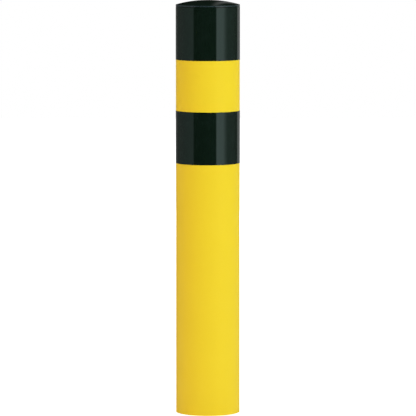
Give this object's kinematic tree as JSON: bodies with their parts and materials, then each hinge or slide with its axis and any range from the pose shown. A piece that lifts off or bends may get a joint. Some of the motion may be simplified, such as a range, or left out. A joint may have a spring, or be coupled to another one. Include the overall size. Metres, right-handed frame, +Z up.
{
  "type": "safety bollard",
  "caption": "Round steel post with a shallow domed cap and black bands over yellow, for setting in concrete on cross bars through its buried foot.",
  "frame": {"origin": "on the tube's axis at the finished ground line", "axes": "+Z up along the tube, -Y towards the front, +X to the right; the bands' lapped ends are at the back"},
  "size_m": [0.3, 0.3, 1.5144],
  "materials": {
    "yellow_coat": "satin powder coat with fine orange peel, over hot-dip zinc that is left bare on the buried foot",
    "black_coat": "glossy paint",
    "black_film": "glossy wrap-around film",
    "bar_steel": "hot-dip galvanised, dull grey",
    "weld_metal": "rippled fillet weld, hot-dip galvanised"
  },
  "bodies": {
    "root": {"post_tube": "yellow_coat", "dome_cap": "black_coat", "cap_weld": "black_coat", "top_band": "black_film", "middle_band": "black_film", "upper_anchor_bar": "bar_steel", "lower_anchor_bar": "bar_steel", "upper_anchor_weld_left": "weld_metal", "upper_anchor_weld_right": "weld_metal", "lower_anchor_weld_front": "weld_metal", "lower_anchor_weld_back": "weld_metal"}
  },
  "joints": []
}
